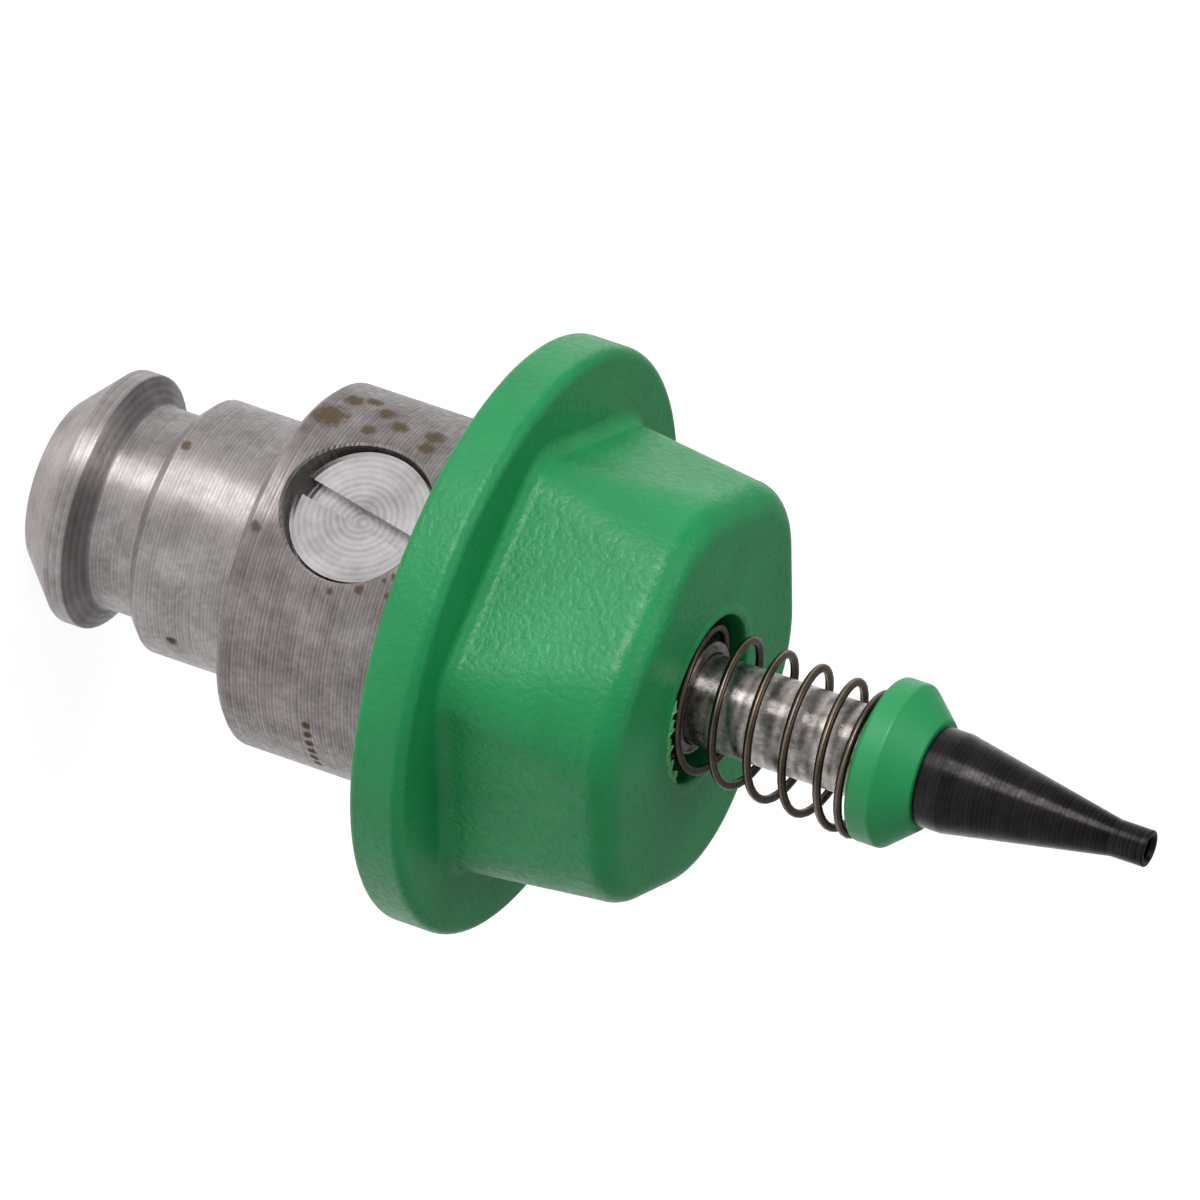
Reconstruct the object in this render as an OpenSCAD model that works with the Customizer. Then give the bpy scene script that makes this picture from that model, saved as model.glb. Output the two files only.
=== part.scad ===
// Spring-loaded vacuum pick-up nozzle for a surface-mount placement machine.
// The nozzle stands on its shank end face, with its axis on +Z and the suction tip on top.

/* [Shank] */
// Diameter of the flat end face
end_d = 4.6; // [4:0.1:5.4]
// Diameter of the pulling knob behind the groove
knob_d = 7.0; // [6.2:0.1:7.6]
// Length of the knob's straight land
knob_land = 0.55; // [0.3:0.05:1]
// Length of the knob's sloping front shoulder
knob_shoulder = 0.4; // [0.2:0.05:0.8]
// Diameter at the bottom of the gripper groove
groove_d = 5.6; // [5:0.1:6]
// Width of the gripper groove
groove_w = 1.45; // [1:0.05:2.5]
// Diameter of the neck that seats in the placement head
neck_d = 7.0; // [6.6:0.1:8]
// Length of the neck, its rear chamfer included
neck_len = 3.45; // [2.5:0.05:5]
// Rear chamfer of the neck
neck_chamfer = 0.28; // [0.1:0.02:0.4]
// Diameter of the barrel
barrel_d = 10; // [9.4:0.1:11]
// Length of the barrel
barrel_len = 5.55; // [5:0.05:8]
// Rear chamfer of the barrel
barrel_chamfer = 0.18; // [0.05:0.01:0.4]
// Diameter of the spigot that carries the cap
spigot_d = 8; // [7:0.1:8.6]
// Length of the spigot
spigot_len = 3.2; // [2.5:0.1:4]
// Gap between the plunger and the air bore through the shank
bore_gap = 0.125; // [0.05:0.005:0.2]
// Diameter of the vacuum port in the end face
port_d = 3.6; // [3.5:0.05:3.8]
// Depth of the vacuum port
port_depth = 3.0; // [2:0.1:4.6]

/* [Cap] */
// Diameter of the reflector disc
disc_d = 16.1; // [14:0.1:20]
// Thickness of the disc
disc_t = 1.5; // [1:0.05:2]
// Rounding of the disc's front edge
disc_front_r = 0.32; // [0.1:0.02:0.5]
// Rounding of the disc's rear edge
disc_rear_r = 0.2; // [0.05:0.01:0.4]
// Size of the hexagonal boss across its flats, at the disc
boss_af = 11.4; // [10.8:0.1:12.5]
// Height of the boss above the disc
boss_h = 4.8; // [4:0.1:7]
// Draft on each flat over the boss height
boss_draft = 0.12; // [0:0.01:0.3]
// Corner radius of the hexagon at the disc
boss_corner_r = 1.5; // [1:0.1:3]
// Corner radius of the hexagon at the front, where it is almost round
boss_front_r = 3.8; // [2:0.1:4.8]
// Rounding of the boss's front edge
boss_edge_r = 0.8; // [0.3:0.05:1.2]
// Angle of the first corner of the hexagon
boss_turn = 8.5; // [0:0.5:59.5]
// Fillet between boss and disc
boss_fillet = 0.4; // [0.2:0.05:0.6]
// Diameter of the spring hole in the front of the cap
spring_hole_d = 4.6; // [4.4:0.05:5.2]

/* [Guide] */
// Wall of the guide bush
bush_wall = 0.305; // [0.2:0.005:0.4]
// How far the bush is pressed into the shank
bush_grip = 4; // [3:0.1:4.2]
// How far the bush nose stands back from the cap face
bush_setback = 0.05; // [0:0.05:0.5]
// Rounding of the bush nose
bush_nose_r = 0.12; // [0.05:0.01:0.2]
// Diameter of the counterbore for the guide screw
screw_hole_d = 4.0; // [3:0.1:4.2]
// Distance of the screw axis from the front of the barrel
screw_back = 2.85; // [2.5:0.05:3.1]
// Distance of the screw's slotted face from the nozzle axis
screw_face = 4.4; // [4:0.05:4.6]
// Distance of the counterbore floor from the nozzle axis
screw_floor = 2.6; // [2.2:0.05:3]
// Height of the turned-down screw head
screw_head_h = 0.55; // [0.4:0.05:0.8]
// Width of the ring gap around the screw head
screw_gap = 0.11; // [0.05:0.01:0.2]
// Width of the driver slot
slot_w = 0.5; // [0.3:0.05:0.8]
// Depth of the driver slot
slot_depth = 0.3; // [0.2:0.05:0.5]
// Angle that the driver slot was left at, from the nozzle axis
slot_turn = 11.5; // [0:0.5:90]
// Diameter of the screw's guide pin
pin_d = 1.0; // [0.8:0.05:1.2]
// How deep the pin stands in the plunger's wall
pin_depth = 0.44; // [0.3:0.02:0.44]

/* [Plunger] */
// Travel of the plunger into the shank
stroke = 2.5; // [1:0.1:3]
// Outer diameter of the plunger tube
tube_d = 2.45; // [2.3:0.05:2.5]
// Bore of the plunger tube
tube_bore_d = 1.2; // [0.8:0.05:1.4]
// Length of tube behind the guide screw axis
tube_tail = 2; // [1.5:0.1:3]
// Diameter of the stub that carries the tip
stub_d = 1.7; // [1.5:0.05:1.9]
// Length of the stub
stub_len = 1.8; // [1:0.1:2]
// Distance from the cap face to the spring collar
collar_reach = 5.0; // [4.2:0.1:6]
// Diameter of the spring collar
collar_d = 4.45; // [4.3:0.05:5]
// Length of the collar's straight land
collar_land = 0.75; // [0.4:0.05:1.2]
// Length of the collar's front cone
collar_cone = 0.8; // [0.5:0.05:1.2]
// Diameter of the collar's front face
collar_front_d = 3.0; // [2.8:0.05:3.4]
// Rounding of the collar's edges
collar_edge_r = 0.14; // [0.05:0.01:0.25]

/* [Tip] */
// Diameter of the tip's shoulder
tip_root_d = 2.7; // [2.5:0.05:3]
// Length of the tip's shoulder
tip_root_len = 0.65; // [0.4:0.05:1]
// Length of the tip's cone
tip_cone_len = 4.55; // [3:0.05:6]
// Diameter of the suction end
tip_end_d = 1.0; // [0.9:0.05:1.4]
// Length of the suction end
tip_end_len = 0.95; // [0.5:0.05:1.5]
// Bore of the suction end
tip_bore_d = 0.6; // [0.4:0.05:0.65]
// Lead-in chamfer of the bore at the suction end
tip_lead = 0.08; // [0.02:0.01:0.1]

/* [Spring] */
// Outer diameter of the coils
spring_d = 4.0; // [3.8:0.05:4.1]
// Diameter of the spring wire
wire_d = 0.23; // [0.18:0.01:0.26]
// Number of turns
spring_turns = 8.85; // [6:0.05:10]
// Closed turns at each end
closed_turns = 0.8; // [0.5:0.05:1]
// Angle at which the wire starts on its seat
spring_start = 125; // [0:5:355]
// Sideways sag of the coils at the collar
spring_sag = 0.26; // [0:0.01:0.3]
// Direction of the sag
spring_sag_turn = 21.5; // [0:0.5:360]

/* [Fits] */
// Radial running clearance of the plunger in its bush
run_fit = 0.02; // [0.01:0.005:0.05]
// Radial clearance of the screw in its hole and of its pin in the slot
screw_fit = 0.02; // [0.01:0.005:0.05]
// End clearance of the pin in the plunger slot
stop_gap = 0.05; // [0.02:0.01:0.1]
// Gap between the spigot's end and the floor of the cap
floor_gap = 0.1; // [0.05:0.01:0.2]
// Gap between the spring's end coils and their seats
seat_gap = 0.03; // [0.01:0.01:0.1]

/* [Hidden] */
$fn = 96;

steel = [0.66, 0.64, 0.64];
dark_steel = [0.45, 0.44, 0.44];
green = [0.13, 0.58, 0.31];
black_steel = [0.09, 0.09, 0.09];
spring_wire = [0.36, 0.31, 0.27];

// Bores that follow the plunger
air_bore_d = tube_d + 2 * bore_gap;
bush_d = tube_d + 2 * run_fit + 2 * bush_wall;

// Heights along the nozzle axis, from the shank end face
knob_cone = (knob_d - end_d) / 2;
z_land = knob_cone;
z_shoulder = z_land + knob_land;
z_groove = z_shoulder + knob_shoulder;
z_neck = z_groove + groove_w;
z_barrel = z_neck + neck_len;
z_cap = z_barrel + barrel_len;
z_seat = z_cap + spigot_len;
z_disc_front = z_cap + disc_t;
z_face = z_disc_front + boss_h;
z_screw = z_cap - screw_back;
z_bush = z_seat - bush_grip;
z_nose = z_face - bush_setback;
z_collar = z_face + collar_reach;
z_tip = z_collar + collar_land + collar_cone;
z_cone = z_tip + tip_root_len;
z_end = z_cone + tip_cone_len;
z_top = z_end + tip_end_len;
z_tail = z_screw - tube_tail;

// Depth added to a cut so that it runs clear through a face
over = 0.5;
// Facets on the curved pieces of the hulled boss
hull_facets = 32;
// Steps in the fillet between boss and disc
fillet_steps = 4;
// Thickness of the outlines that the boss is stretched between
film = 0.01;
// Straight pieces in a turned rounding
arc_steps = 6;
// Rings in one turn of the spring, and sides of its wire
rings_per_turn = 24;
wire_sides = 8;

// Points of an arc about [x, z], from angle a0 to a1
function arc(x, z, r, a0, a1) =
    [for (i = [0:arc_steps])
        let (a = a0 + (a1 - a0) * i / arc_steps)
        [x + r * cos(a), z + r * sin(a)]];

// Cylinder on the guide screw's axis, which points along -Y, from depth y0 out to y1
module side_bore(d, y0, y1) {
    translate([0, -y0, z_screw])
        rotate([90, 0, 0])
            cylinder(d = d, h = y1 - y0);
}

// Turned steel shank: knob, gripper groove, neck, barrel and the spigot under the cap
module shank_body() {
    profile = [
        [port_d / 2, 0],
        [end_d / 2, 0],
        [knob_d / 2, z_land],
        [knob_d / 2, z_shoulder],
        [groove_d / 2, z_groove],
        [groove_d / 2, z_neck],
        [neck_d / 2 - neck_chamfer, z_neck],
        [neck_d / 2, z_neck + neck_chamfer],
        [neck_d / 2, z_barrel],
        [barrel_d / 2 - barrel_chamfer, z_barrel],
        [barrel_d / 2, z_barrel + barrel_chamfer],
        [barrel_d / 2, z_cap],
        [spigot_d / 2, z_cap],
        [spigot_d / 2, z_seat],
        [air_bore_d / 2, z_seat],
        [air_bore_d / 2, port_depth],
        [port_d / 2, port_depth]
    ];
    color(steel)
        difference() {
            rotate_extrude() polygon(profile);
            translate([0, 0, z_bush]) cylinder(d = bush_d, h = spigot_len + bush_grip);
            side_bore(screw_hole_d, screw_floor, barrel_d);
            side_bore(pin_d + 2 * screw_fit, 0, barrel_d);
        }
}

// Outline of the hexagonal boss with corners of radius r: one film of it at height z, inset all round
module boss_outline(z, r, inset, edge_r) {
    corner_r = r - inset;
    reach = (boss_af / 2 - r) / cos(30);
    for (k = [0:5])
        rotate(boss_turn + 60 * k)
            translate([reach, 0, z])
                if (edge_r > 0)
                    rotate_extrude($fn = hull_facets)
                        translate([corner_r - edge_r, 0])
                            intersection() {
                                circle(r = edge_r, $fn = hull_facets);
                                square(edge_r);
                            }
                else
                    cylinder(r = corner_r, h = film, $fn = hull_facets);
}

// Moulded green cap: reflector disc with a drafted hexagonal boss and the spring hole
module reflector_cap() {
    disc = concat(
        [[0, z_cap]],
        arc(disc_d / 2 - disc_rear_r, z_cap + disc_rear_r, disc_rear_r, -90, 0),
        arc(disc_d / 2 - disc_front_r, z_disc_front - disc_front_r, disc_front_r, 0, 90),
        [[0, z_disc_front]]);
    color(green)
        difference() {
            union() {
                rotate_extrude() polygon(disc);
                hull() {
                    boss_outline(z_disc_front - film, boss_corner_r, 0, 0);
                    boss_outline(z_face - boss_edge_r, boss_front_r, boss_draft, boss_edge_r);
                }
                for (i = [0:fillet_steps - 1]) {
                    a0 = 90 * i / fillet_steps;
                    a1 = 90 * (i + 1) / fillet_steps;
                    hull() {
                        boss_outline(z_disc_front - film + boss_fillet * (1 - cos(a0)), boss_corner_r,
                                     -boss_fillet * (1 - sin(a0)), 0);
                        boss_outline(z_disc_front - film + boss_fillet * (1 - cos(a1)), boss_corner_r,
                                     -boss_fillet * (1 - sin(a1)), 0);
                    }
                }
            }
            translate([0, 0, z_cap - over])
                cylinder(d = spigot_d, h = spigot_len + floor_gap + over);
            translate([0, 0, z_seat])
                cylinder(d = spring_hole_d, h = z_face - z_seat + over);
        }
}

// Steel bush pressed into the shank, in which the plunger slides
module guide_bush() {
    bore_r = tube_d / 2 + run_fit;
    profile = concat(
        [[bore_r, z_bush], [bush_d / 2, z_bush]],
        arc(bush_d / 2 - bush_nose_r, z_nose - bush_nose_r, bush_nose_r, 0, 90),
        [[bore_r, z_nose]]);
    color(dark_steel) rotate_extrude() polygon(profile);
}

// Slotted screw in the side of the barrel, whose pin guides and stops the plunger
module guide_screw() {
    body_d = screw_hole_d - 2 * screw_fit;
    pin_end = tube_d / 2 - pin_depth;
    color(steel)
        difference() {
            union() {
                side_bore(pin_d, pin_end, screw_floor + film);
                side_bore(body_d, screw_floor, screw_face - screw_head_h);
                side_bore(screw_hole_d - 2 * screw_gap, screw_face - screw_head_h - film, screw_face);
            }
            translate([0, -screw_face, z_screw])
                rotate([0, slot_turn, 0])
                    cube([slot_w, 2 * slot_depth, 2 * screw_hole_d], center = true);
        }
}

// Steel plunger tube, with the milled slot that rides on the guide pin
module plunger_tube() {
    slot_r = pin_d / 2 + screw_fit;
    color(dark_steel)
        difference() {
            union() {
                translate([0, 0, z_tail]) cylinder(d = tube_d, h = z_tip - z_tail);
                translate([0, 0, z_tip - film]) cylinder(d = stub_d, h = stub_len + film);
            }
            translate([0, 0, z_tail - over])
                cylinder(d = tube_bore_d, h = z_tip - z_tail + stub_len + 2 * over);
            translate([0, 0, -stop_gap]) side_bore(2 * slot_r, 0, tube_d);
            translate([0, 0, stroke + stop_gap]) side_bore(2 * slot_r, 0, tube_d);
            translate([-slot_r, -tube_d, z_screw - stop_gap])
                cube([2 * slot_r, tube_d, stroke + 2 * stop_gap]);
        }
}

// Moulded green collar pressed on the plunger, which the spring pushes against
module spring_collar() {
    r = collar_edge_r;
    cone_turn = atan2(collar_cone, (collar_d - collar_front_d) / 2);
    profile = concat(
        [[tube_d / 2, z_collar]],
        arc(collar_d / 2 - r, z_collar + r, r, -90, 0),
        arc(collar_d / 2 - r, z_collar + collar_land - r * tan((90 - cone_turn) / 2), r,
            0, 90 - cone_turn),
        [[collar_front_d / 2, z_tip], [tube_d / 2, z_tip]]);
    color(green) rotate_extrude() polygon(profile);
}

// Blackened steel suction tip, pressed on the plunger's stub
module nozzle_tip() {
    profile = [
        [stub_d / 2, z_tip],
        [tip_root_d / 2, z_tip],
        [tip_root_d / 2, z_cone],
        [tip_end_d / 2, z_end],
        [tip_end_d / 2, z_top],
        [tip_bore_d / 2 + tip_lead, z_top],
        [tip_bore_d / 2, z_top - tip_lead],
        [tip_bore_d / 2, z_tip + stub_len],
        [stub_d / 2, z_tip + stub_len]
    ];
    color(black_steel) rotate_extrude() polygon(profile);
}

// Height of the wire's centre above its seat after u turns: closed ends, an even pitch between
function coil_rise(u) =
    let (free = z_collar - z_seat - wire_d - 2 * seat_gap,
         close = closed_turns * wire_d,
         pitch = (free - 2 * close) / (spring_turns - 2 * closed_turns))
    u < closed_turns ? u * wire_d :
    u > spring_turns - closed_turns ? free - (spring_turns - u) * wire_d :
    close + (u - closed_turns) * pitch;

// Centre of the wire after u turns, with the coils sagging sideways beyond the cap face
function coil_point(u) =
    let (z = z_seat + seat_gap + wire_d / 2 + coil_rise(u),
         sag = spring_sag * max(0, z - z_face) / collar_reach,
         a = spring_start + 360 * u,
         r = (spring_d - wire_d) / 2)
    [r * cos(a) + sag * cos(spring_sag_turn), r * sin(a) + sag * sin(spring_sag_turn), z];

// Compression spring of round wire, swept along its right-handed helix
module return_spring() {
    rings = ceil(spring_turns * rings_per_turn);
    points = [for (i = [0:rings], j = [0:wire_sides - 1])
        let (u = spring_turns * i / rings,
             c = coil_point(u),
             a = spring_start + 360 * u,
             b = 360 * j / wire_sides)
        c + wire_d / 2 * [cos(b) * cos(a), cos(b) * sin(a), sin(b)]];
    sides = [for (i = [0:rings - 1], j = [0:wire_sides - 1])
        let (k = (j + 1) % wire_sides, p = i * wire_sides, q = p + wire_sides)
        [p + j, p + k, q + k, q + j]];
    start_cap = [for (j = [wire_sides - 1:-1:0]) j];
    end_cap = [for (j = [0:wire_sides - 1]) rings * wire_sides + j];
    color(spring_wire)
        polyhedron(points = points, faces = concat(sides, [start_cap, end_cap]), convexity = 10);
}

shank_body();
reflector_cap();
guide_bush();
guide_screw();
plunger_tube();
spring_collar();
nozzle_tip();
return_spring();
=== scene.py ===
"""A sprung vacuum pick-up nozzle: turned steel shank, green moulded cap and a plunger with a fine black tip."""

import bmesh
import bpy
import numpy as np
from mathutils import Matrix


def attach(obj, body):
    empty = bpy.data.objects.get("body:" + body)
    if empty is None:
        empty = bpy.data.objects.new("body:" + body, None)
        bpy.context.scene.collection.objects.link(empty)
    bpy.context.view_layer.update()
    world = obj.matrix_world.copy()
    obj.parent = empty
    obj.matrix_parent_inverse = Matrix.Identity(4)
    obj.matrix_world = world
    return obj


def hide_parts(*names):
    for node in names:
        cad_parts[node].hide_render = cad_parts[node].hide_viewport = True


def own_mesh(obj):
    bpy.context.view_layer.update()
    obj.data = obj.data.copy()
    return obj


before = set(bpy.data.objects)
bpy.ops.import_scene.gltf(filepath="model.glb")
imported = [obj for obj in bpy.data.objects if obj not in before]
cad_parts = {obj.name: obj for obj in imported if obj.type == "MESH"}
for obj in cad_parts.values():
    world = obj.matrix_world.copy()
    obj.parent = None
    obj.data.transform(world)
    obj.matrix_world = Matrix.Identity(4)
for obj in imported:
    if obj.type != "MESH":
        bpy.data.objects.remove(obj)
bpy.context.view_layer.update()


# ---------------------------------------------------------------------------
# Camera: a long lens, looking a little down on the nozzle's middle and rolled
# so that the nozzle's axis runs from upper left to lower right.
# ---------------------------------------------------------------------------
azimuth, elevation, roll = np.radians([21.5, 19.9, -108.6])
away = np.array([np.sin(azimuth) * np.cos(elevation), -np.cos(azimuth) * np.cos(elevation),
                 np.sin(elevation)])
across = np.array([np.cos(azimuth), np.sin(azimuth), 0.0])
rise = np.cross(away, across)
to_right = np.cos(roll) * across - np.sin(roll) * rise
to_top = np.sin(roll) * across + np.cos(roll) * rise
aim = np.array([0.00047, -0.00544, 0.01713])
camera_distance = 0.35875


def facing(name, data, place, right, top, back):
    """Puts a camera or lamp at place, with its own X, Y and Z along right, top and back."""
    thing = bpy.data.objects.new(name, data)
    bpy.context.scene.collection.objects.link(thing)
    turn = Matrix(np.column_stack([right, top, back]).tolist()).to_4x4()
    thing.matrix_world = Matrix.Translation(place) @ turn
    return thing


lens = bpy.data.cameras.new("camera")
lens.sensor_width, lens.lens = 36.0, 420.0
lens.clip_start, lens.clip_end = 0.02, 10.0
bpy.context.scene.camera = facing("camera", lens, aim + camera_distance * away, to_right, to_top, away)
bpy.context.scene.view_settings.view_transform = "Standard"


# ---------------------------------------------------------------------------
# Floor and light: a pale table that goes white behind the nozzle but keeps
# its shadow, one broad soft lamp over the camera and a weak one on its right.
# ---------------------------------------------------------------------------
def tint(code):
    """Linear colour of an sRGB hex code: each channel c becomes ((c + 0.055) / 1.055) to the power 2.4, or,
    where it is small, c / 12.92."""
    c = np.array([int(code[i:i + 2], 16) / 255 for i in (1, 3, 5)])
    return (*np.where(c > 0.04045, ((c + 0.055) / 1.055) ** 2.4, c / 12.92), 1.0)


def add(tree, kind, ins=None, **settings):
    """Adds one node: settings are its properties, ins its inputs, each a value or the output that feeds it."""
    node = tree.nodes.new(kind)
    for key, value in settings.items():
        setattr(node, key, value)
    for key, value in (ins or {}).items():
        if isinstance(value, bpy.types.NodeSocket):
            tree.links.new(value, node.inputs[key])
        else:
            node.inputs[key].default_value = value
    return node


def seen_directly(tree):
    """1 for rays from the camera, from reflections and through glass: the larger of the three flags."""
    path = add(tree, "ShaderNodeLightPath").outputs
    shine = add(tree, "ShaderNodeMath", {0: path["Is Camera Ray"], 1: path["Is Glossy Ray"]},
                operation="MAXIMUM")
    return add(tree, "ShaderNodeMath", {0: shine.outputs[0], 1: path["Is Transmission Ray"]},
               operation="MAXIMUM").outputs[0]


# white to the eye, with a faint grey shadow round the nozzle's foot
paper = bpy.data.materials.new("white_paper_table")
paper.use_nodes = True
tree = paper.node_tree
tree.nodes.clear()
matt = add(tree, "ShaderNodeBsdfDiffuse", {"Color": tint("#dedede")})
glow = add(tree, "ShaderNodeEmission", {"Color": (1, 1, 1, 1), "Strength": 0.78})
both = add(tree, "ShaderNodeAddShader", {0: matt.outputs[0], 1: glow.outputs[0]})
shown = add(tree, "ShaderNodeMixShader", {0: seen_directly(tree), 1: matt.outputs[0], 2: both.outputs[0]})
add(tree, "ShaderNodeOutputMaterial", {"Surface": shown.outputs[0]})

sheet = bpy.data.meshes.new("table_top")
reach, table_gap = 3.0, 0.00002  # the gap keeps the table off the shank's end face
sheet.from_pydata([(-reach, -reach, 0), (reach, -reach, 0), (reach, reach, 0), (-reach, reach, 0)], [],
                  [(0, 1, 2, 3)])
table = bpy.data.objects.new("table_top", sheet)
bpy.context.scene.collection.objects.link(table)
table.location.z = -table_gap
sheet.materials.append(paper)

world = bpy.data.worlds.new("studio")
bpy.context.scene.world = world
world.use_nodes = True
tree = world.node_tree
tree.nodes.clear()
path = add(tree, "ShaderNodeLightPath").outputs
room = add(tree, "ShaderNodeBackground", {"Color": tint("#d8dadc"), "Strength": 0.45})
white = add(tree, "ShaderNodeBackground", {"Color": (1, 1, 1, 1), "Strength": 1.0})
mixed = add(tree, "ShaderNodeMixShader", {0: path["Is Camera Ray"], 1: room.outputs[0], 2: white.outputs[0]})
add(tree, "ShaderNodeOutputWorld", {"Surface": mixed.outputs[0]})


nozzle_middle = np.array([0, 0, 0.016])


def softbox(name, direction, distance, size, watts):
    """A rectangular lamp that lies off the nozzle's middle and faces it. Its direction is given as shares of
    the picture's right, the picture's top and the way to the camera."""
    back = direction[0] * to_right + direction[1] * to_top + direction[2] * away
    back = back / np.linalg.norm(back)
    side = np.cross(to_top, back)
    side = side / np.linalg.norm(side)
    lamp = bpy.data.lights.new(name, "AREA")
    lamp.shape, lamp.size, lamp.size_y, lamp.energy = "RECTANGLE", size[0], size[1], watts
    return facing(name, lamp, nozzle_middle + distance * back, side, np.cross(back, side), back)


softbox("key_softbox", (-0.55, 0.8, 0.75), 0.30, (0.34, 0.16), 3.5)
softbox("right_softbox", (1.0, 0.2, 0.5), 0.35, (0.20, 0.20), 0.2)


# ---------------------------------------------------------------------------
# Shank: one bar of stainless steel, turned on a lathe. The pulling knob, the
# gripper groove and the neck are finely finished, the barrel keeps the tool's
# feed lines, and a counterbore in its side takes the guide screw.
# ---------------------------------------------------------------------------
MM = 0.001


def rounded(corners, step=0.3):
    """Profile through corners (r, z, rounding) in mm. Each rounded corner becomes the arc that touches both its
    edges, whose points lie at equal angles, and each straight run is cut into pieces no longer than step, with
    a point close to each end."""
    close, shortest, arc_step = 0.012, 0.05, 0.2
    p = np.array([c[:2] for c in corners], float)
    out = [p[:1]]
    for k in range(1, len(p)):
        if k < len(p) - 1 and corners[k][2] > 0:
            u, v = p[k - 1] - p[k], p[k + 1] - p[k]
            u, v = u / np.linalg.norm(u), v / np.linalg.norm(v)
            half = np.arccos(np.clip(u @ v, -1, 1)) / 2
            rho = corners[k][2]
            centre = p[k] + (u + v) / np.linalg.norm(u + v) * rho / np.sin(half)
            start, end = p[k] + u * rho / np.tan(half), p[k] + v * rho / np.tan(half)
            a0, a1 = np.arctan2(*(start - centre)[::-1]), np.arctan2(*(end - centre)[::-1])
            sweep = (a1 - a0 + np.pi) % (2 * np.pi) - np.pi
            a = a0 + sweep * np.linspace(0, 1, max(3, int(abs(sweep) / arc_step) + 2))
            bend = centre + rho * np.column_stack([np.cos(a), np.sin(a)])
        else:
            bend = p[k:k + 1]
        run = np.linalg.norm(bend[0] - out[-1][-1])
        t = np.linspace(0, 1, max(2, int(run / step) + 2))
        t = np.unique(np.concatenate([t, [close / run, 1 - close / run]] if run > shortest else [t]))
        straight = out[-1][-1] + t[1:-1, None] * (bend[0] - out[-1][-1])
        out += [straight, bend]
    return np.concatenate(out)


def sheets(name, grids):
    """One closed mesh from grids of points in mm: each grid's neighbouring rows and columns span quads. Points
    that coincide are merged, so seams and poles close, and the faces are turned outwards. The UV map is (column
    share, length along the rows in mm), or (angle about Z in turns, z in mm) where a grid is marked as part of
    a turned face."""
    merge_gap, sliver, sharp_angle = 2e-7, 1e-8, np.radians(32)
    points, faces, uv, base = [], [], [], 0
    for grid, keep, *turned_face in grids:
        rows, cols = grid.shape[:2]
        index = base + np.arange(rows * cols).reshape(rows, cols)
        quads = np.stack([index[:-1, :-1], index[:-1, 1:], index[1:, 1:], index[1:, :-1]], -1)
        along = np.concatenate([[0], np.cumsum(np.linalg.norm(np.diff(grid, axis=0), axis=-1).max(axis=1))])
        flat = np.stack(np.broadcast_arrays(np.linspace(0, 1, cols)[None, :], along[:, None]), -1)
        if turned_face:
            flat = np.stack([np.arctan2(grid[..., 1], grid[..., 0]) / (2 * np.pi), grid[..., 2]], -1)
        corner = np.stack([flat[:-1, :-1], flat[:-1, 1:], flat[1:, 1:], flat[1:, :-1]], 2)
        mask = np.ones(quads.shape[:2], bool) if keep is None else keep
        points.append(grid.reshape(-1, 3))
        faces.append(quads[mask])
        uv.append(corner[mask])
        base += rows * cols
    points, faces, uv = np.concatenate(points), np.concatenate(faces), np.concatenate(uv)
    mesh = bpy.data.meshes.new(name)
    mesh.from_pydata((points * MM).tolist(), [], faces.tolist())
    mesh.uv_layers.new(name="turned").data.foreach_set("uv", uv.reshape(-1).astype(np.float32))
    shell = bmesh.new()
    shell.from_mesh(mesh)
    bmesh.ops.remove_doubles(shell, verts=shell.verts, dist=merge_gap)
    bmesh.ops.dissolve_degenerate(shell, edges=shell.edges, dist=sliver)
    bmesh.ops.recalc_face_normals(shell, faces=shell.faces)
    shell.to_mesh(mesh)
    shell.free()
    mesh.polygons.foreach_set("use_smooth", np.ones(len(mesh.polygons), bool))
    mesh.set_sharp_from_angle(angle=sharp_angle)
    piece = bpy.data.objects.new(name, mesh)
    bpy.context.scene.collection.objects.link(piece)
    return piece


def turned(profile, angles):
    """Surface of revolution: the point (r, z) of the profile at angle a lies at (r cos a, r sin a, z)."""
    r, z = profile[:, :1], profile[:, 1:]
    return np.stack([r * np.cos(angles), r * np.sin(angles), z + 0 * angles], -1)


round_about = np.linspace(0, 2 * np.pi, 289)

# radii and stations along the axis, in mm
bore_r, port_r, end_r, neck_r, groove_r, spigot_r = 1.35, 1.8, 2.3, 3.5, 2.8, 4.0
port_end, barrel_z, cap_z, spigot_end = 3.0, 7.05, 12.6, 15.8

# the screw's counterbore is framed by a square window in the barrel
barrel_r, hole_r, hole_edge, hole_z, floor_y = 5.0, 2.0, 2.07, 9.75, 2.6
frame_half, frame_cells = 2.45, 48
frame_x = np.linspace(-frame_half, frame_half, frame_cells + 1)
inside = -np.pi / 2 + np.arcsin(frame_x / barrel_r)
outside = np.linspace(inside[-1], inside[0] + 2 * np.pi, 233)
shank_angles = np.concatenate([inside, outside[1:]])
low, high = hole_z - frame_half, hole_z + frame_half
rear = rounded([(bore_r, spigot_end, 0), (bore_r, port_end, 0), (port_r, port_end, 0), (port_r, 0, 0.1),
                (end_r, 0, 0.06), (neck_r, 1.2, 0.12), (neck_r, 1.75, 0.12), (groove_r, 2.15, 0.12),
                (groove_r, 3.6, 0.1), (3.22, 3.6, 0.03), (neck_r, 3.88, 0.05), (neck_r, barrel_z, 0.06),
                (4.82, barrel_z, 0.03), (barrel_r, 7.23, 0.04), (barrel_r, low, 0)])
front = rounded([(barrel_r, high, 0), (barrel_r, cap_z, 0.04), (spigot_r, cap_z, 0),
                 (spigot_r, spigot_end, 0),
                 (bore_r, spigot_end, 0)])
middle = np.column_stack([np.full(frame_cells + 1, barrel_r), np.linspace(low, high, frame_cells + 1)])
rows = np.concatenate([rear, middle[1:-1], front])
body = turned(rows, shank_angles)
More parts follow.
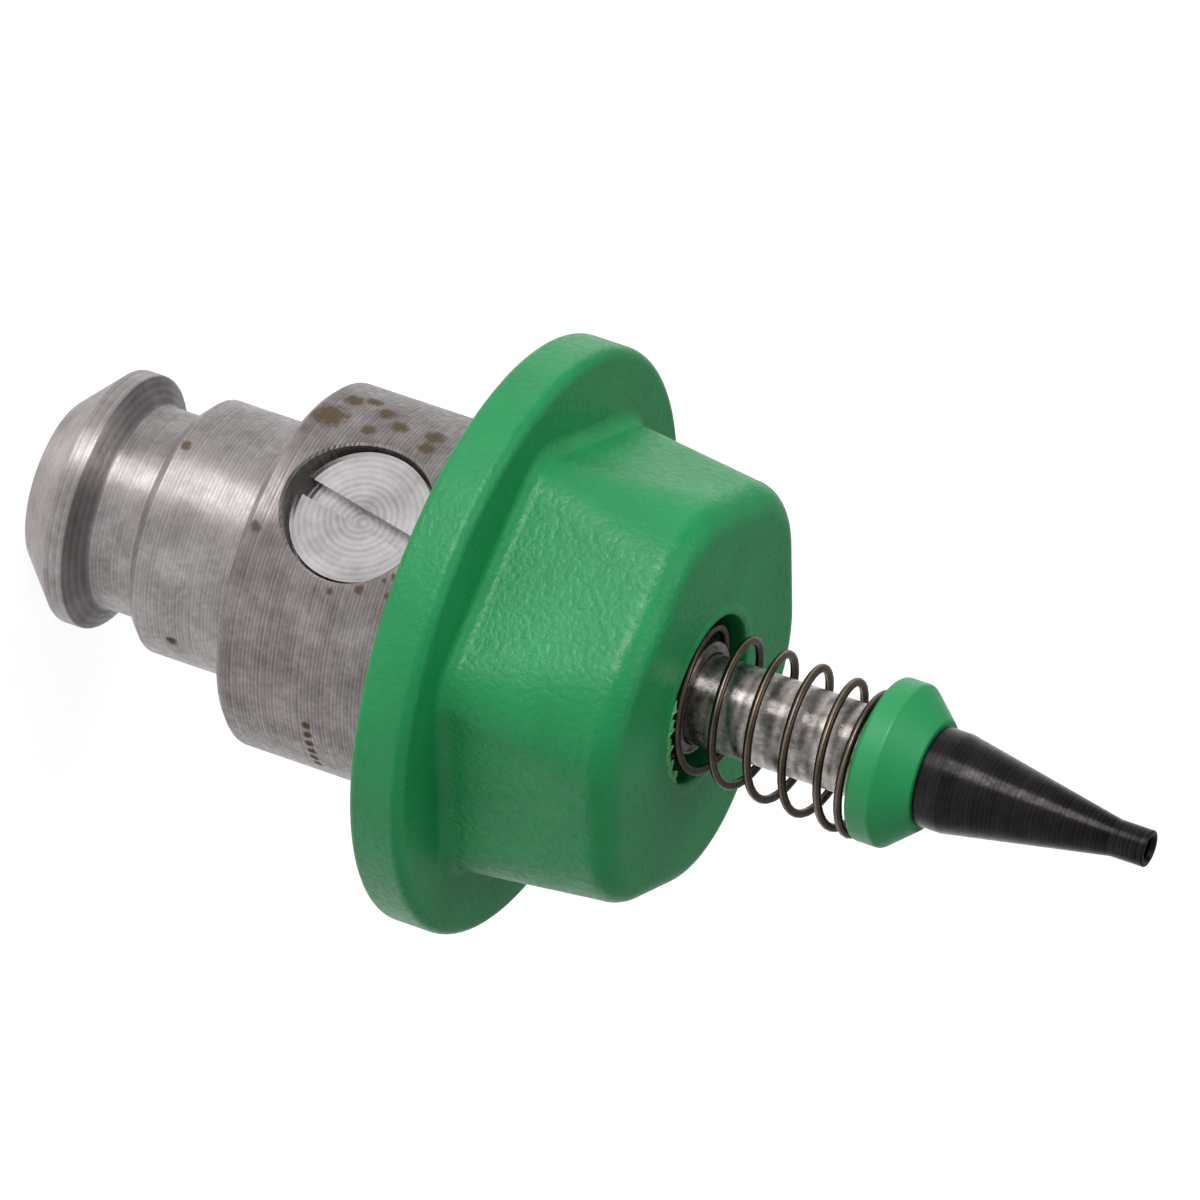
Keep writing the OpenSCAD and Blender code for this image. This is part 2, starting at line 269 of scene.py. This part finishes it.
whole = np.ones((len(body) - 1, len(shank_angles) - 1), bool)
whole[len(rear) - 1:len(rear) - 1 + frame_cells, :frame_cells] = False

# inside the window, spokes run from the square to the hole's edge, then over its chamfer and down its wall
edge = np.linspace(-frame_half, frame_half, frame_cells + 1)
square = np.concatenate([np.column_stack([edge, 0 * edge - frame_half]),
                         np.column_stack([0 * edge + frame_half, edge])[1:],
                         np.column_stack([edge[::-1], 0 * edge + frame_half])[1:],
                         np.column_stack([0 * edge - frame_half, edge[::-1]])[1:]])
spoke = -3 * np.pi / 4 + 2 * np.pi * np.linspace(0, 1, len(square))
circle = np.column_stack([np.cos(spoke), np.sin(spoke)])
share = np.linspace(0, 1, 9)[:, None, None]
plan = square * (1 - share) + circle * hole_edge * share
patch = np.stack([plan[..., 0], -np.sqrt(barrel_r ** 2 - plan[..., 0] ** 2), plan[..., 1] + hole_z], -1)
rim = circle * hole_r
skin = -np.sqrt(barrel_r ** 2 - rim[:, 0] ** 2)
chamfer_deep = 0.085
depth = np.concatenate([[0.07, chamfer_deep], np.linspace(0.1, 1, 12)])[:, None]
down_wall = skin + chamfer_deep + (depth - 0.1) / 0.9 * (-floor_y - skin - chamfer_deep)
wall_y = np.where(depth < 0.09, skin + depth, down_wall)
wall = np.stack([rim[:, 0] + 0 * wall_y, wall_y, rim[:, 1] + hole_z + 0 * wall_y], -1)
bottom = wall[-1:] * [1, 1, 1] * np.ones((2, 1, 1))
bottom[1] = [0, -floor_y, hole_z]
shank = sheets("turned_shank", [(body, whole), (patch, None, True),
                                (np.concatenate([patch[-1:], wall]), None), (bottom, None)])


def steel(name, colour, roughness, grain, lines_mm, lines_depth, along, mottle_mm, fine_below=None,
          stains=()):
    """Turned or ground steel: bare metal, its highlight drawn out across the tool's lines by anisotropy, and
    lines as bump. along(tree, position) gives the distance in mm that the lines are counted on, mottle_mm is
    the size of its cloudy patches, and below the count fine_below the finish is finer and the third and
    fourth colours take over, a lighter pair in use that is painted brightness for the stronger reflection
    there; stains are (x, y, z, radius) in mm, dull brown and without metal's shine."""
    mat = bpy.data.materials.new(name)
    mat.use_nodes = True
    tree = mat.node_tree
    tree.nodes.clear()
    position = add(tree, "ShaderNodeTexCoord").outputs["Object"]
    count = along(tree, position)
    uneven = add(tree, "ShaderNodeTexNoise", {"W": count, "Scale": 1 / lines_mm, "Detail": 1.0},
                 noise_dimensions="1D")
    feed = add(tree, "ShaderNodeMath", {0: count, 1: 2 * np.pi / lines_mm}, operation="MULTIPLY")
    feed = add(tree, "ShaderNodeMath", {0: feed.outputs[0]}, operation="SINE")
    lines = add(tree, "ShaderNodeMath", {0: feed.outputs[0], 1: 0.3, 2: uneven.outputs["Fac"]},
                operation="MULTIPLY_ADD")
    cloud = add(tree, "ShaderNodeTexNoise",
                {"Vector": position, "Scale": 1 / (mottle_mm * MM), "Detail": 4.0, "Roughness": 0.6})
    speck = add(tree, "ShaderNodeTexNoise",
                {"Vector": position, "Scale": 1 / (0.18 * MM), "Detail": 3.0, "Roughness": 0.7})
    tone = add(tree, "ShaderNodeMath", {0: lines.outputs[0], 1: 0.25, 2: cloud.outputs["Fac"]},
               operation="MULTIPLY_ADD")
    tone = add(tree, "ShaderNodeMapRange", {"Value": tone.outputs[0], "From Min": 0.35, "From Max": 0.9})
    shade = add(tree, "ShaderNodeMix", {0: tone.outputs[0], 6: tint(colour[0]), 7: tint(colour[1])},
                data_type="RGBA")
    base = shade.outputs[2]
    if fine_below is not None:
        # the finer knob, groove and neck get a lighter base: painted brightness for their stronger reflection
        coarse = add(tree, "ShaderNodeMapRange",
                     {"Value": count, "From Min": fine_below, "From Max": fine_below + 0.05}).outputs[0]
        fine = add(tree, "ShaderNodeMix", {0: tone.outputs[0], 6: tint(colour[2]), 7: tint(colour[3])},
                   data_type="RGBA").outputs[2]
        base = add(tree, "ShaderNodeMix", {0: coarse, 6: fine, 7: base}, data_type="RGBA").outputs[2]
    rough = add(tree, "ShaderNodeMapRange", {"Value": speck.outputs["Fac"], "From Min": 0.3, "From Max": 0.7,
                                             "To Min": roughness[0], "To Max": roughness[1]}).outputs[0]
    metal = 1.0
    if stains:
        nearest = None
        for x, y, z, radius in stains:
            gap = add(tree, "ShaderNodeVectorMath", {0: position, 1: (x * MM, y * MM, z * MM)},
                      operation="DISTANCE")
            gap = add(tree, "ShaderNodeMath", {0: gap.outputs["Value"], 1: 1 / (radius * MM)},
                      operation="MULTIPLY")
            nearest = gap if nearest is None else add(tree, "ShaderNodeMath",
                                                      {0: nearest.outputs[0], 1: gap.outputs[0]},
                                                      operation="MINIMUM")
        ragged = add(tree, "ShaderNodeMath", {0: speck.outputs["Fac"], 1: 1.6, 2: nearest.outputs[0]},
                     operation="MULTIPLY_ADD")
        stain = add(tree, "ShaderNodeMapRange",
                    {"Value": ragged.outputs[0], "From Min": 1.25, "From Max": 1.75, "To Min": 0.85,
                     "To Max": 0.0})
        base = add(tree, "ShaderNodeMix", {0: stain.outputs[0], 6: base, 7: tint("#66502f")},
                   data_type="RGBA").outputs[2]
        rough = add(tree, "ShaderNodeMix", {0: stain.outputs[0], 2: rough, 3: 0.8}).outputs[0]
        metal = add(tree, "ShaderNodeMath", {0: 1.0, 1: stain.outputs[0]}, operation="SUBTRACT").outputs[0]
    if fine_below is None:
        depth = lines_depth * MM
    else:
        depth = add(tree, "ShaderNodeMapRange",
                    {"Value": coarse, "To Min": 0.3 * lines_depth * MM,
                     "To Max": lines_depth * MM}).outputs[0]
    height = add(tree, "ShaderNodeMath", {0: lines.outputs[0], 1: depth}, operation="MULTIPLY")
    height = add(tree, "ShaderNodeMath", {0: speck.outputs["Fac"], 1: grain * MM, 2: height.outputs[0]},
                 operation="MULTIPLY_ADD")
    bump = add(tree, "ShaderNodeBump", {"Strength": 1.0, "Distance": 1.0, "Height": height.outputs[0]})
    turn = add(tree, "ShaderNodeTangent", direction_type="UV_MAP", uv_map="turned")
    skin = add(tree, "ShaderNodeBsdfPrincipled",
               {"Base Color": base, "Metallic": metal, "Roughness": rough, "Anisotropic": 0.8,
                "Anisotropic Rotation": 0.25,
                                                  "Tangent": turn.outputs[0], "Normal": bump.outputs[0]})
    add(tree, "ShaderNodeOutputMaterial", {"Surface": skin.outputs[0]})
    return mat


def up_the_axis(tree, position):
    """Distance along the nozzle's axis in mm: the position's Z."""
    z = add(tree, "ShaderNodeSeparateXYZ", {0: position}).outputs["Z"]
    return add(tree, "ShaderNodeMath", {0: z, 1: 1 / MM}, operation="MULTIPLY").outputs[0]


rust = [(-2.46, -4.35, 7.7, 0.62), (-3.31, -3.75, 7.85, 0.36), (-3.18, -3.85, 8.89, 0.34),
        (-2.38, -4.4, 8.86, 0.26), (-2.84, -4.12, 9.46, 0.34),
        (-2.88, -4.09, 10.49, 0.38), (-2.43, -4.37, 10.53, 0.3), (-3.5, -3.57, 8.3, 0.3),
        (1.35, -4.81, 7.4, 0.2), (-0.74, -3.42, 4.03, 0.2), (3.09, -1.63, 3.2, 0.14),
        (3.46, -0.52, 4.95, 0.2),
        (1.43, -4.79, 11.49, 0.12), (1.6, -4.74, 11.26, 0.1), (2.0, -4.58, 10.69, 0.16),
        (1.92, -4.62, 11.48, 0.12), (2.24, -4.47, 9.93, 0.12)]
index_angle = np.radians(np.linspace(-16, 6, 6))
# plain dots, burnt brown by a laser
index_dots = [(barrel_r * np.cos(a), barrel_r * np.sin(a), hole_z, 0.17) for a in index_angle]
# grey satin steel with feed lines on the barrel, a finer knob, groove and neck whose lighter base is painted
# brightness for their stronger reflection, and brown spots
turned_steel = steel("turned_stainless_steel", ("#716a69", "#a8a09f", "#8a8382", "#b9b2b2"), (0.34, 0.52),
                     0.003, 0.105, 0.006, up_the_axis, 1.1, barrel_z, rust + index_dots)
shank.data.materials.append(turned_steel)
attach(shank, "holder")
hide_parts("shank_body")


# ---------------------------------------------------------------------------
# Guide screw: slotted round steel screw sunk in the barrel's side. Its faced
# head shows fine rings, and its pin runs in the plunger's slot.
# ---------------------------------------------------------------------------
screw_r, screw_face, screw_base, slot_half, slot_deep = 1.89, 4.4, 3.85, 0.25, 0.3
slot_turn = np.radians(11.5)
u = np.unique(np.concatenate([screw_r * np.sin(np.linspace(-np.pi / 2, np.pi / 2, 61)),
                              slot_half * np.array([-1.08, -1, -0.98, -0.5, 0, 0.5, 0.98, 1, 1.08])]))
u = np.insert(u, [np.searchsorted(u, -slot_half), np.searchsorted(u, slot_half) + 1], [-slot_half, slot_half])
drop = np.where(np.abs(u) < slot_half, slot_deep, 0.0)
drop[np.flatnonzero(u == -slot_half)[-1]] = slot_deep
drop[np.flatnonzero(u == slot_half)[0]] = slot_deep
chord = np.sqrt(np.maximum(screw_r ** 2 - u ** 2, 0))


def on_screw(side, along, out):
    """Point beside the slot, along it and out from the nozzle's axis: the slot runs along Z turned about Y."""
    x = side * np.cos(slot_turn) + along * np.sin(slot_turn)
    z = hole_z + along * np.cos(slot_turn) - side * np.sin(slot_turn)
    return np.stack([x, -out + 0 * side, z], -1)


share = np.linspace(-1, 1, 41)
down = np.linspace(0, 1, 6)
top_out = screw_face - drop
face = on_screw(u[:, None] + 0 * share, chord[:, None] * share, top_out[:, None] + 0 * share)
under = on_screw(u[:, None] + 0 * share, chord[:, None] * share, screw_base + 0 * u[:, None] * share)
sides = [on_screw(u[:, None] + 0 * down, s * chord[:, None] + 0 * down,
                  top_out[:, None] + (screw_base - top_out)[:, None] * down) for s in (-1, 1)]
stem = turned(rounded([(0, 0.785, 0), (0.5, 0.785, 0.1), (0.5, 2.6, 0), (1.98, 2.6, 0), (1.98, 3.849, 0),
                       (0, 3.849, 0)]), round_about)
stem = np.stack([stem[..., 0], -stem[..., 2], stem[..., 1] + hole_z], -1)
screw = sheets("guide_screw_slotted", [(face, None), (under, None), (sides[0], None), (sides[1], None),
                                       (stem, None)])


def out_from_screw(tree, position):
    """Distance from the screw's axis in mm: the length of the position's part across that axis."""
    flat = add(tree, "ShaderNodeVectorMath", {0: position, 1: (1, 0, 1)}, operation="MULTIPLY")
    gap = add(tree, "ShaderNodeVectorMath", {0: flat.outputs[0], 1: (0, 0, hole_z * MM)},
              operation="DISTANCE")
    return add(tree, "ShaderNodeMath", {0: gap.outputs["Value"], 1: 1 / MM}, operation="MULTIPLY").outputs[0]


# bright screw face with faint rings about its middle
faced_steel = steel("faced_screw_steel", ("#918d8d", "#c9c5c5"), (0.2, 0.32), 0.001, 0.17, 0.006,
                    out_from_screw, 1.0)
screw.data.materials.append(faced_steel)
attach(screw, "holder")
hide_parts("guide_screw")


# ---------------------------------------------------------------------------
# Cap: reflector disc and hexagonal boss, injection moulded in one piece of
# green engineering plastic and pressed on the spigot. Edges are smooth and the
# boss's flats carry the mould's fine grain.
# ---------------------------------------------------------------------------
boss_half, boss_corner, front_corner, boss_turn = 5.7, 1.5, 3.8, np.radians(8.5)
disc_front, face_z, disc_r, disc_flat_r, hole_in_cap_r, lip_r = 14.1, 18.9, 8.05, 7.0, 2.3, 2.62
cap_angles = np.linspace(0, 2 * np.pi, 481)


def hexagon(inset, corner_mm):
    """Rounded hexagon at cap_angles, as a radius: on a flat it is the half width over the cosine from the flat's middle,
    and on a corner it is where the ray leaves the corner's circle."""
    half, corner = boss_half - inset, corner_mm - inset
    off_flat = (cap_angles - boss_turn) % (np.pi / 3) - np.pi / 6
    off_corner = np.pi / 6 - np.abs(off_flat)
    reach = (half - corner) / np.cos(np.pi / 6)
    flat = half / np.cos(off_flat)
    bend = reach * np.cos(off_corner) + np.sqrt(np.maximum(corner ** 2 - (reach * np.sin(off_corner)) ** 2,
                                                           0))
    return np.where(half * np.abs(np.tan(off_flat)) <= (half - corner) * np.tan(np.pi / 6), flat, bend)


cap_rows = []
disc = rounded([(spigot_r, spigot_end + 0.1, 0), (spigot_r, cap_z, 0.1), (disc_r, cap_z, 0.2),
                (disc_r, disc_front, 0.32), (disc_flat_r, disc_front, 0)], 0.25)
cap_rows += [(np.full_like(cap_angles, r), z) for r, z in disc]
fillet, draft, boss_edge = 0.4, 0.12, 0.8
cap_rows += [(disc_flat_r + (hexagon(-fillet, boss_corner) - disc_flat_r) * t,
              disc_front) for t in np.linspace(0.15, 0.98, 6)]
for a in np.linspace(0, np.pi / 2, 9):
    cap_rows.append((hexagon(-fillet * (1 - np.sin(a)), boss_corner), disc_front + fillet * (1 - np.cos(a))))
for t in np.linspace(0.02, 0.98, 14):
    corner_mm = boss_corner + (front_corner - boss_corner) * t
    z = disc_front + fillet + (face_z - boss_edge - disc_front - fillet) * t
    cap_rows.append((hexagon(draft * t, corner_mm), z))
for a in np.linspace(0, np.pi / 2, 14):
    cap_rows.append((hexagon(draft + boss_edge * (1 - np.cos(a)), front_corner),
                     face_z - boss_edge + boss_edge * np.sin(a)))
lip_deep = 0.04
lip = [(lip_r, 0.0), (2.6, 0.006), (2.55, 0.03), (2.45, 0.04), (2.38, 0.035), (2.32, 0.0),
       (hole_in_cap_r, -lip_deep)]
cap_rows += [(hexagon(draft + boss_edge, front_corner) * (1 - t) + lip_r * t,
              face_z) for t in np.linspace(0.03, 0.97, 12)]
cap_rows += [(np.full_like(cap_angles, r), face_z + h) for r, h in lip]
hole_wall = [face_z - lip_deep - t * (face_z - lip_deep - spigot_end) for t in np.linspace(0.05, 1, 14)]
cap_rows += [(np.full_like(cap_angles, hole_in_cap_r), z) for z in hole_wall]
cap_rows += [(np.full_like(cap_angles, spigot_r), spigot_end + h) for h in (0.0, 0.1)]
radius, height = np.array([r for r, _ in cap_rows]), np.array([z for _, z in cap_rows])[:, None]
cap_skin = np.stack([radius * np.cos(cap_angles), radius * np.sin(cap_angles), height + 0 * radius], -1)
cap = sheets("moulded_cap", [(cap_skin, None)])


def green_plastic(name, grain_mm, grain_depth, colour):
    """Moulded green engineering plastic: half gloss, faintly cloudy in colour, with the mould's grain as bump."""
    mat = bpy.data.materials.new(name)
    mat.use_nodes = True
    tree = mat.node_tree
    tree.nodes.clear()
    position = add(tree, "ShaderNodeTexCoord").outputs["Object"]
    pits = add(tree, "ShaderNodeTexNoise",
               {"Vector": position, "Scale": 1 / (grain_mm * MM), "Detail": 2.0, "Roughness": 0.5})
    cloud = add(tree, "ShaderNodeTexNoise", {"Vector": position, "Scale": 1 / (2.5 * MM), "Detail": 3.0})
    tone = add(tree, "ShaderNodeMapRange", {"Value": cloud.outputs["Fac"], "From Min": 0.3, "From Max": 0.7})
    shade = add(tree, "ShaderNodeMix", {0: tone.outputs[0], 6: tint(colour[0]), 7: tint(colour[1])},
                data_type="RGBA")
    rough = add(tree, "ShaderNodeMapRange",
                {"Value": pits.outputs["Fac"], "From Min": 0.3, "From Max": 0.7, "To Min": 0.36,
                 "To Max": 0.52})
    height = add(tree, "ShaderNodeMath", {0: pits.outputs["Fac"], 1: grain_depth * MM}, operation="MULTIPLY")
    bump = add(tree, "ShaderNodeBump", {"Strength": 1.0, "Distance": 1.0, "Height": height.outputs[0]})
    skin = add(tree, "ShaderNodeBsdfPrincipled",
               {"Base Color": shade.outputs[2], "Roughness": rough.outputs[0], "IOR": 1.5,
                "Normal": bump.outputs[0]})
    add(tree, "ShaderNodeOutputMaterial", {"Surface": skin.outputs[0]})
    return mat


# half-gloss green, its highlights broken up by the grain
cap.data.materials.append(green_plastic("green_moulded_plastic_grained", 0.17, 0.028, ("#149250", "#1fa15c")))
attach(cap, "holder")
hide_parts("reflector_cap")


# ---------------------------------------------------------------------------
# Mould flash: a thin ragged skin of the cap's plastic left on the hole's rim
# where the mould parts met. Its paler colour is a painted highlight along the rim.
# ---------------------------------------------------------------------------
about = np.linspace(0, 1, 121)
rim_r = hole_in_cap_r
flash_angle = np.radians(-62 + 78 * about)
torn = 0.5 + 0.22 * np.sin(31 * about) + 0.16 * np.sin(67 * about + 1.3) + 0.12 * np.sin(139 * about + 0.4)
fade = np.clip(np.minimum(about, 1 - about) * 9, 0.04, 1)
inner, outer, lift = rim_r - 0.26 * torn * fade, rim_r + 0.16 * (1.2 - torn) * fade, 0.02 + 0.07 * torn * fade
section = [(outer, face_z + 0 * about + 0.02), (0.5 * (inner + outer), face_z + lift + 0.03),
           (inner, face_z + lift), (inner + 0.02, face_z + lift - 0.05),
           (rim_r + 0 * about, face_z - 0.06 + 0 * about), (outer, face_z + 0 * about + 0.02)]
flash_r, flash_z = np.array([r for r, _ in section]), np.array([h for _, h in section])
flash_skin = np.stack([flash_r * np.cos(flash_angle), flash_r * np.sin(flash_angle), flash_z], -1)
flash = sheets("mould_flash", [(flash_skin, None)])
# thin edge painted pale round the hole: a painted highlight
flash.data.materials.append(green_plastic("green_flash_painted_highlight", 0.1, 0.02, ("#4fae63", "#7cc487")))
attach(flash, "holder")


# ---------------------------------------------------------------------------
# Guide bush: hardened steel sleeve pressed into the shank. Only its rounded
# nose shows, in the cap's hole.
# ---------------------------------------------------------------------------
bush_bore_r, bush_r, bush_back, bush_nose = 1.245, 1.55, 11.8, 18.85
bush_profile = rounded([(bush_bore_r, bush_back, 0), (bush_r, bush_back, 0), (bush_r, bush_nose, 0.12),
                        (bush_bore_r, bush_nose, 0.05), (bush_bore_r, bush_back, 0)])
bush = sheets("guide_bush_sleeve", [(turned(bush_profile, round_about), None)])
# light and dark mottling under a narrow highlight
ground_steel = steel("ground_steel_mottled", ("#4b4644", "#c4bcb8"), (0.2, 0.4), 0.003, 0.3, 0.001,
                     up_the_axis, 0.55)
bush.data.materials.append(ground_steel)
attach(bush, "holder")
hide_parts("guide_bush")


# ---------------------------------------------------------------------------
# Plunger tube: thin hardened steel tube, ground and then rubbed mottled by
# the spring. It slides in the bush.
# ---------------------------------------------------------------------------
tube_bore_r, tube_r, stub_r, tube_back, tip_back, stub_end = 0.6, 1.225, 0.85, 7.75, 25.45, 27.25
tube_profile = rounded([(tube_bore_r, tube_back, 0), (tube_r, tube_back, 0.05), (tube_r, tip_back, 0),
                        (stub_r, tip_back, 0),
                        (stub_r, stub_end, 0), (tube_bore_r, stub_end, 0), (tube_bore_r, tube_back, 0)], 0.3)
tube = sheets("plunger_tube_ground", [(turned(tube_profile, round_about), None)])
tube.data.materials.append(ground_steel)
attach(tube, "plunger")
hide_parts("plunger_tube")


# ---------------------------------------------------------------------------
# Spring collar: small moulded ring of the cap's plastic, pressed on the tube
# against the tip, with a short land and a front cone.
# ---------------------------------------------------------------------------
collar_r, collar_front_r, collar_back, land_end = 2.225, 1.5, 23.9, 24.62
collar_profile = rounded([(tube_r, tip_back, 0), (tube_r, collar_back, 0), (collar_r, collar_back, 0.16),
                          (collar_r, land_end, 0.16), (collar_front_r, tip_back, 0.12),
                          (tube_r, tip_back, 0)], 0.1)
collar = sheets("spring_collar_moulded", [(turned(collar_profile, round_about), None)])
# smooth half-gloss green with one soft highlight along its land
collar.data.materials.append(green_plastic("green_moulded_plastic_smooth", 0.3, 0.006,
                                           ("#1f9d57", "#2aa763")))
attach(collar, "plunger")
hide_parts("spring_collar")


# ---------------------------------------------------------------------------
# Suction tip: turned from tool steel and blackened, tapering to a thin-walled
# end, where its bore opens.
# ---------------------------------------------------------------------------
tip_r, suction_r, suction_bore_r, cone_start, cone_end, tip_end = 1.35, 0.5, 0.3, 26.1, 30.65, 31.6
tip_profile = rounded([(stub_r, tip_back, 0), (tip_r, tip_back, 0.06), (tip_r, cone_start, 0.3),
                       (suction_r, cone_end, 0.3),
                       (suction_r, tip_end, 0.04), (0.37, tip_end, 0.02), (suction_bore_r, 31.5, 0),
                       (suction_bore_r, stub_end, 0), (stub_r, stub_end, 0), (stub_r, tip_back, 0)], 0.1)
tip = sheets("suction_tip", [(turned(tip_profile, round_about), None)])
# near black, with a soft grey sheen down the cone
black_steel = steel("blackened_tool_steel", ("#1d1c1c", "#373434"), (0.26, 0.42), 0.002, 0.12, 0.0008,
                    up_the_axis, 0.9)
tip.data.materials.append(black_steel)
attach(tip, "plunger")
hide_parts("nozzle_tip")


# ---------------------------------------------------------------------------
# Return spring: drawn spring wire, coiled right-handed with closed ends and
# browned by its heat treatment. It sits in the cap's hole and behind the collar.
# ---------------------------------------------------------------------------
wire_r, coil_r, turns, closed_turns, start = 0.115, 1.885, 8.85, 0.8, np.radians(125)
end_gap = 0.03
seat, top = spigot_end + end_gap + wire_r, collar_back - end_gap - wire_r
k = np.linspace(0, turns, 320)
pitch = (top - seat - 4 * closed_turns * wire_r) / (turns - 2 * closed_turns)
lift = np.where(k < closed_turns, 2 * wire_r * k,
                np.where(k > turns - closed_turns, top - seat - 2 * wire_r * (turns - k),
                2 * wire_r * closed_turns + pitch * (k - closed_turns)))
z = seat + lift
sag_at_collar, open_length = 0.26, 5.0
sag = sag_at_collar * np.maximum(0, z - face_z) / open_length
a = start + 2 * np.pi * k
centre = np.stack([coil_r * np.cos(a) + sag * np.cos(azimuth), coil_r * np.sin(a) + sag * np.sin(azimuth), z],
                  -1)
b = np.linspace(0, 2 * np.pi, 17)
outward = np.stack([np.cos(a), np.sin(a), 0 * a], -1)[:, None]
size = np.where((k == 0) | (k == turns), 0.0, wire_r)
ring = centre[:, None] + size[:, None,
                              None] * (np.cos(b)[:, None] * outward + np.sin(b)[:, None] * np.array([0, 0,
                                                                                                     1.0]))
spring = sheets("return_spring_coiled", [(ring, None)])
# brown wire with a thin bright line on each turn
spring_steel = steel("browned_spring_wire", ("#4f453e", "#7d6d61"), (0.26, 0.38), 0.001, 0.3, 0.0004,
                     up_the_axis, 0.8)
spring.data.materials.append(spring_steel)
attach(spring, "holder")
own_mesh(spring)
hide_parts("return_spring")
